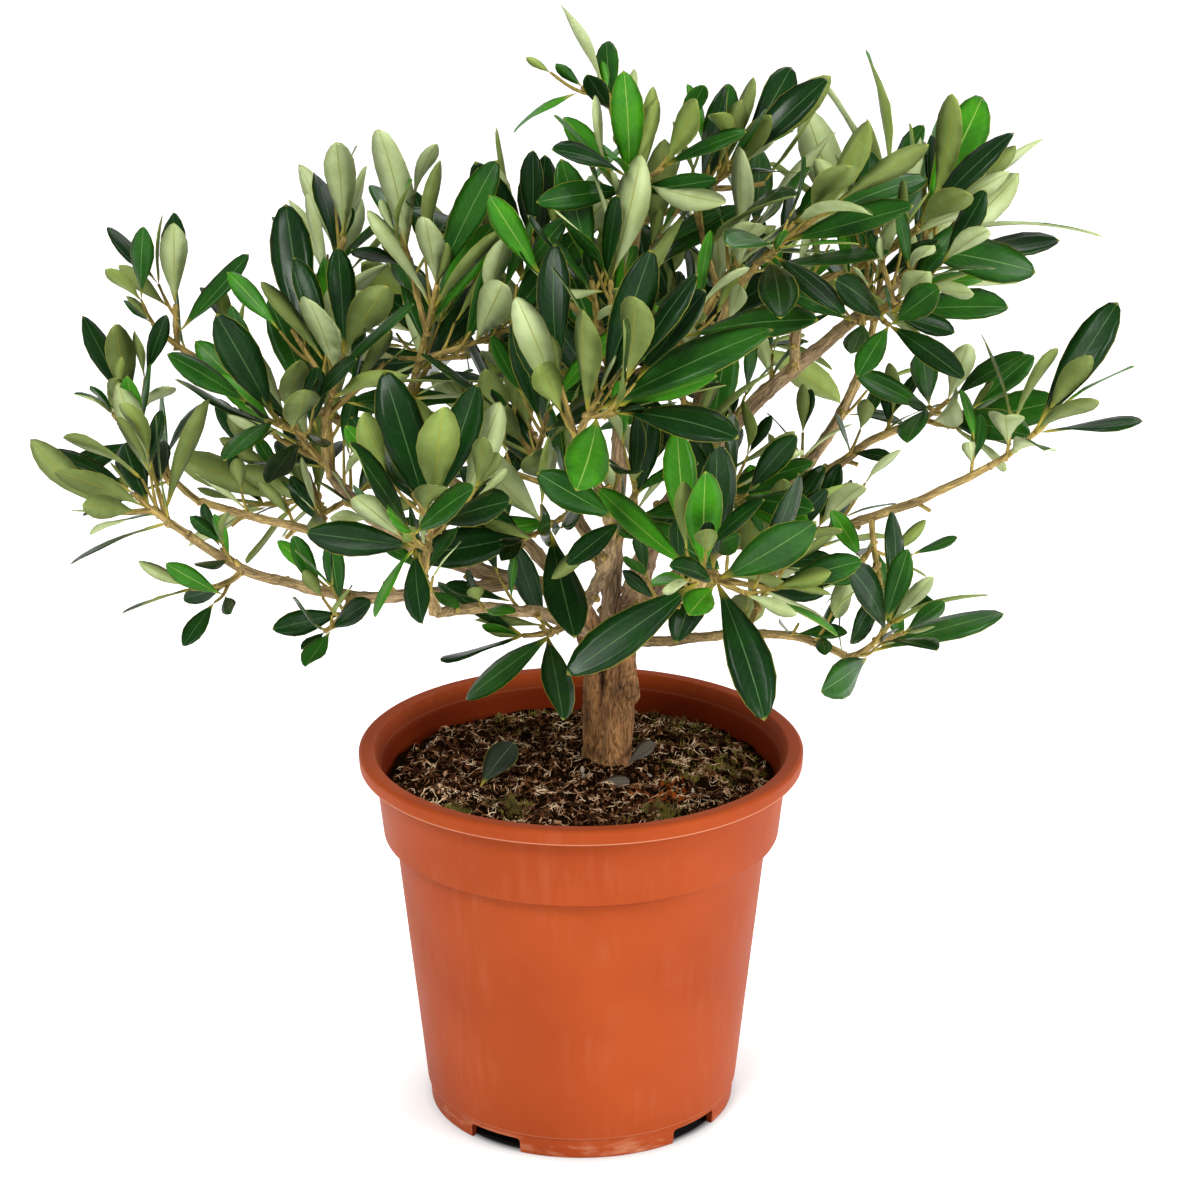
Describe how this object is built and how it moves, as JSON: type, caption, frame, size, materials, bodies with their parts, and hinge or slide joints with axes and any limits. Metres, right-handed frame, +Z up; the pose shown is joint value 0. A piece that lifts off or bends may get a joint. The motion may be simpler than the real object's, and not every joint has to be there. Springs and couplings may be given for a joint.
{
  "type": "olive bonsai in a plastic pot",
  "caption": "Small olive tree with a short forked trunk, long thin boughs and masses of narrow leaves, growing in peat in a round moulded plastic pot.",
  "frame": {"origin": "centre of the circle that the pot's foot stands on, at the ground, which is also the bottom centre of the whole plant's box to a few millimetres", "axes": "+Z up; the front is towards -Y; +X is to the right seen from the front"},
  "size_m": [0.4399, 0.2884, 0.4756],
  "materials": {
    "pot_plastic": "moulded, satin, terracotta-coloured polypropylene",
    "peat": "loose fibrous peat compost, rough",
    "bark": "thin grey-brown bark, rough on the trunk",
    "foliage": "leathery leaves, glossy green above and matt sage below"
  },
  "bodies": {
    "root": {"pot": "pot_plastic", "soil": "peat", "trunk": "bark", "left_bough": "bark", "low_left_bough": "bark", "elbow_bough": "bark", "elbow_shoot": "bark", "back_left_bough": "bark", "high_left_bough": "bark", "front_bough": "bark", "centre_bough": "bark", "top_bough": "bark", "right_bough": "bark", "upright_bough": "bark", "stub_bough": "bark", "right_back_bough": "bark", "right_side_bough": "bark", "right_mid_bough": "bark", "low_right_bough": "bark", "star_bough": "bark", "back_bough": "bark", "back_right_bough": "bark", "low_left_tip": "foliage", "low_left_under": "foliage", "low_left_middle": "foliage", "back_left_tip": "foliage", "left_side": "foliage", "left_upright": "foliage", "high_left_tip": "foliage", "high_left_up": "foliage", "high_left_inner": "foliage", "elbow_tip": "foliage", "front_tip": "foliage", "front_side": "foliage", "trunk_front": "foliage", "centre_left": "foliage", "centre_front": "foliage", "centre_right": "foliage", "top_left": "foliage", "top_tip": "foliage", "top_front": "foliage", "top_side": "foliage", "upright_tip": "foliage", "stub_side": "foliage", "right_tip": "foliage", "right_top": "foliage", "right_back_tip": "foliage", "right_side_tip": "foliage", "right_mid_tip": "foliage", "right_mid_under": "foliage", "right_inner": "foliage", "low_right_tip": "foliage", "low_right_middle": "foliage", "star_tip": "foliage", "star_side": "foliage", "back_tip": "foliage", "back_up": "foliage", "back_right_tip": "foliage", "back_right_up": "foliage", "back_left_low": "foliage"}
  },
  "joints": []
}
